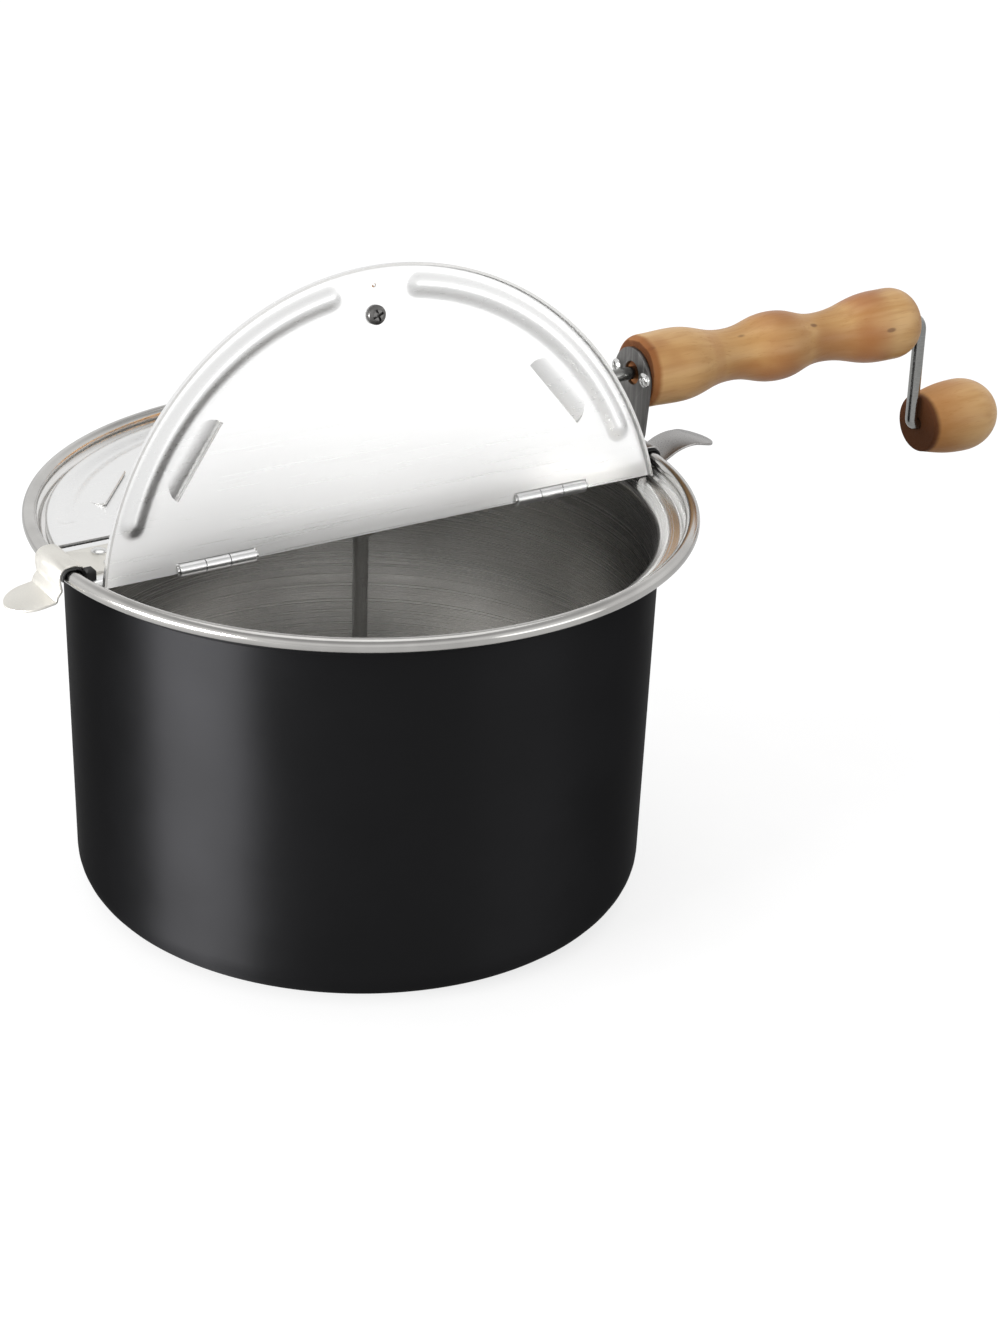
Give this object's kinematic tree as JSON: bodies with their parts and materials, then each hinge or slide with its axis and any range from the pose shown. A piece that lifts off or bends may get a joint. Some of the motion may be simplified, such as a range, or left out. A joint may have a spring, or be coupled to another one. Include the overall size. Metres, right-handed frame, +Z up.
{
  "type": "stovetop popcorn popper",
  "caption": "Stovetop popping pot with a split folding lid on a crossbar, wooden side handle and a geared hand crank that turns a stirring wire.",
  "frame": {"origin": "centre of the pot's base, on the surface that it stands on", "axes": "+Z up along the pot's axis, +X along the handle and the crank, -Y towards the lid leaf that stands open"},
  "size_m": [0.4419, 0.25, 0.2459],
  "materials": {
    "black_finish": "black satin coating outside, bare aluminium bead and inside",
    "bright_aluminium": "satin",
    "bright_steel": "polished",
    "satin_steel": "satin",
    "dark_steel": "brushed, dark grey",
    "gear_steel": "machined",
    "brass": "machined",
    "black_rubber": "matte",
    "wood": "lacquered, light warm brown"
  },
  "bodies": {
    "pot": {"pot": "black_finish"},
    "lid_frame": {"crossbar": "bright_aluminium", "hinge_pins": "bright_steel", "clip_left": "bright_steel", "clip_right": "satin_steel", "rim_pad_left": "black_rubber", "rim_pad_right": "black_rubber", "foot_rivets": "bright_steel", "handle_bracket": "dark_steel", "handle": "wood", "handle_screws": "bright_steel", "gear_bracket": "satin_steel", "gear_bracket_rivets": "bright_steel", "shaft_bush": "brass", "bush_nut": "bright_steel"},
    "lid_front_leaf": {"lid_front": "bright_aluminium", "lid_front_knob": "wood", "lid_front_screw": "bright_steel"},
    "lid_back_leaf": {"lid_back": "bright_aluminium", "lid_back_knob": "wood", "lid_back_screw": "bright_steel"},
    "crank": {"crank_rod": "bright_steel", "rod_cap": "bright_steel", "knob_cap": "bright_steel", "drive_gear": "gear_steel", "drive_gear_pin": "bright_steel"},
    "crank_grip": {"crank_knob": "wood"},
    "stirrer": {"stirring_shaft": "bright_steel", "driven_gear": "gear_steel", "driven_gear_pin": "bright_steel", "thrust_washer": "bright_steel", "shaft_retainer": "bright_steel", "stirrer_hub": "satin_steel", "stirring_wire": "bright_steel"}
  },
  "joints": [
    {"name": "lid_lift", "type": "slide", "parent": "pot", "child": "lid_frame", "axis": [0, 0, 1], "range_m": [0, 0.165]},
    {"name": "front_leaf_hinge", "type": "hinge", "parent": "lid_frame", "child": "lid_front_leaf", "pos_m": [0, -0.02, 0.15], "axis": [-1, 0, 0], "range_deg": [-98.4, 0]},
    {"name": "back_leaf_hinge", "type": "hinge", "parent": "lid_frame", "child": "lid_back_leaf", "pos_m": [0, 0.02, 0.15], "axis": [1, 0, 0], "range_deg": [0, 84]},
    {"name": "crank_spin", "type": "hinge", "parent": "lid_frame", "child": "crank", "pos_m": [0.2, 0, 0.183], "axis": [1, 0, 0], "continuous": true},
    {"name": "grip_spin", "type": "hinge", "parent": "crank", "child": "crank_grip", "pos_m": [0.28, 0, 0.1367], "axis": [1, 0, 0], "continuous": true},
    {"name": "stirrer_spin", "type": "hinge", "parent": "lid_frame", "child": "stirrer", "pos_m": [0, 0, 0.1], "axis": [0, 0, 1], "continuous": true}
  ],
  "couplings": [
    {"joint": "stirrer_spin", "follows": "crank_spin", "ratio": 1}
  ]
}
